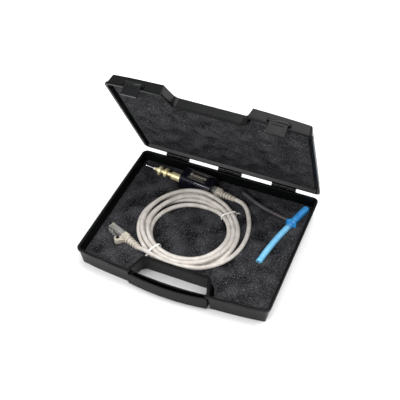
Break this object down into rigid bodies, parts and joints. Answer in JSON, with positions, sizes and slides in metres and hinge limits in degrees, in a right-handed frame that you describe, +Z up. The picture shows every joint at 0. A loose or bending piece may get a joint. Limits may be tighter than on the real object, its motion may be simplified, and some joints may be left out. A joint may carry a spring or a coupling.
{
  "type": "oscilloscope probe kit",
  "caption": "Sensing probe with barbed brass stem, modular patch lead and hose set, lying in a foam-lined plastic carrying case with a hinged lid, latches and a handle",
  "frame": {"origin": "middle of the case's flat underside", "axes": "+X along the case's hinge, +Y towards the hinge, +Z up"},
  "size_m": [0.24, 0.2115, 0.2067],
  "materials": {
    "case_plastic": "fine moulded texture",
    "latch_plastic": "satin moulded",
    "foam": "open-cell foam",
    "pin_steel": "drawn",
    "needle_steel": "polished",
    "needle_sleeve": "moulded",
    "brass": "turned",
    "seal_rubber": "moulded",
    "housing_plastic": "gloss moulded",
    "screw_steel": "zinc plated",
    "plate_print": "printed film",
    "board_laminate": "solder mask",
    "chip_epoxy": "moulded epoxy",
    "trimmer_body": "moulded",
    "ceramic_parts": "fired ceramic",
    "wire_insulation": "extruded",
    "jack_plastic": "moulded",
    "gold_contact": "gold flash",
    "clear_plastic": "clear polycarbonate",
    "boot_plastic": "moulded soft plastic",
    "cable_jacket": "extruded jacket",
    "tie_plastic": "film",
    "adapter_plastic": "moulded",
    "blue_silicone": "extruded silicone",
    "black_rubber": "extruded rubber",
    "sleeve_rubber": "heat-shrunk sleeve"
  },
  "bodies": {
    "base": {"base_shell": "case_plastic", "base_foam": "foam", "hinge_pin_left": "pin_steel", "hinge_pin_middle": "pin_steel", "hinge_pin_right": "pin_steel"},
    "lid": {"lid_shell": "case_plastic", "lid_foam": "foam", "latch_pin_left": "pin_steel", "latch_pin_right": "pin_steel"},
    "latch_flap_left": {"latch_left": "latch_plastic"},
    "latch_flap_right": {"latch_right": "latch_plastic"},
    "probe": {"tip_needle": "needle_steel", "tip_insulator": "needle_sleeve", "brass_stem": "brass", "collar_nut": "brass", "sealing_ring": "seal_rubber", "stem_locknut": "brass", "housing_tray": "housing_plastic", "housing_cover": "housing_plastic", "housing_screws": "screw_steel", "rating_plate": "plate_print", "circuit_board": "board_laminate", "amplifier_chip": "chip_epoxy", "trimmer": "trimmer_body", "board_components": "ceramic_parts", "sensing_disc": "brass", "signal_wire": "wire_insulation", "jack_shell": "jack_plastic", "jack_contacts": "gold_contact"},
    "lead": {"probe_plug_shell": "clear_plastic", "probe_plug_contacts": "gold_contact", "probe_plug_wires": "wire_insulation", "probe_plug_boot": "boot_plastic", "cable_to_probe": "cable_jacket", "coil": "cable_jacket", "tie_lower": "tie_plastic", "tie_upper": "tie_plastic", "cable_to_plug": "cable_jacket", "free_plug_shell": "clear_plastic", "free_plug_contacts": "gold_contact", "free_plug_wires": "wire_insulation", "free_plug_boot": "boot_plastic"},
    "plug_tab": {"free_plug_tab": "clear_plastic"},
    "hoses": {"hose_adapter": "adapter_plastic", "blue_hose": "blue_silicone", "hose_sleeve": "sleeve_rubber", "black_hose": "black_rubber"}
  },
  "joints": [
    {"name": "lid_hinge", "type": "hinge", "parent": "base", "child": "lid", "pos_m": [0, 0.0975, 0.02615], "axis": [-1, 0, 0], "range_deg": [-62, 118]},
    {"name": "latch_left_pivot", "type": "hinge", "parent": "lid", "child": "latch_flap_left", "pos_m": [-0.08313, 0.0088, 0.20352], "axis": [-0.997, 0.0365, -0.0687], "range_deg": [0, 100]},
    {"name": "latch_right_pivot", "type": "hinge", "parent": "lid", "child": "latch_flap_right", "pos_m": [0.08313, 0.0088, 0.20352], "axis": [-0.997, -0.0365, 0.0687], "range_deg": [0, 100]},
    {"name": "probe_lift_out", "type": "slide", "parent": "base", "child": "probe", "axis": [0, -0.2756, 0.9613], "range_m": [0, 0.04]},
    {"name": "lead_unplug", "type": "slide", "parent": "probe", "child": "lead", "axis": [0.994, -0.1096, 0], "range_m": [0, 0.012]},
    {"name": "plug_tab_flex", "type": "hinge", "parent": "lead", "child": "plug_tab", "pos_m": [-0.10296, -0.04447, 0.0146], "axis": [0, 0, 1], "range_deg": [0, 8], "stiffness_Nm_per_rad": 0.05},
    {"name": "hose_lift_out", "type": "slide", "parent": "base", "child": "hoses", "axis": [0, -0.4695, 0.8829], "range_m": [0, 0.02]}
  ]
}
